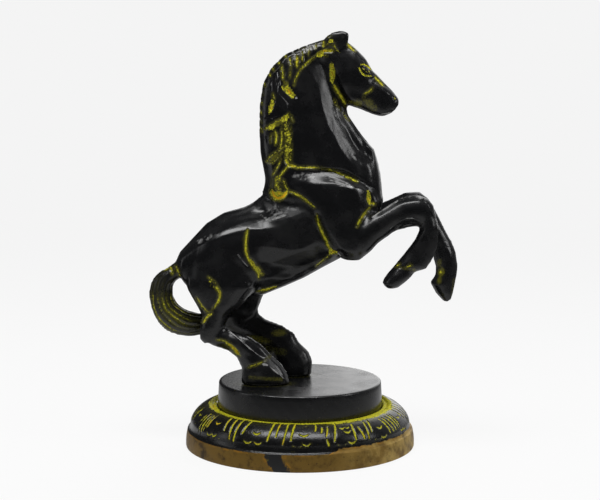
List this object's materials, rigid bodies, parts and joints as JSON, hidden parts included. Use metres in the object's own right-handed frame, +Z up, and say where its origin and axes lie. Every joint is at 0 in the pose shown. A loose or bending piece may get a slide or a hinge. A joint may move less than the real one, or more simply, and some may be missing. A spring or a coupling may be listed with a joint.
{
  "type": "horse figurine",
  "caption": "Rearing horse figurine in black-patinated cast brass, on a turned drum in an engraved foot ring, for a shelf or desk.",
  "frame": {"origin": "on the surface the figurine stands on, under the middle of its bounding box", "axes": "+Z up, +X the way the horse faces, +Y to the horse's left"},
  "size_m": [0.1484, 0.11, 0.1972],
  "materials": {
    "black_patina": "cast brass under a waxed black patina, semi-gloss, with yellow pigment left in the chased lines",
    "engraved_brass": "turned brass, black patina over an engraved border with yellow pigment, and a bare brown brass band below",
    "fixing_steel": "plain zinc-plated steel"
  },
  "bodies": {
    "root": {"horse_body": "black_patina", "right_foreleg": "black_patina", "left_foreleg": "black_patina", "tail": "black_patina", "plinth_drum": "black_patina", "foot_ring": "engraved_brass", "right_hoof_stud": "fixing_steel", "left_hoof_stud": "fixing_steel", "right_stud_washer": "fixing_steel", "left_stud_washer": "fixing_steel", "right_stud_nut": "fixing_steel", "left_stud_nut": "fixing_steel", "drum_screw_1": "fixing_steel", "drum_screw_2": "fixing_steel", "drum_screw_3": "fixing_steel"}
  },
  "joints": []
}
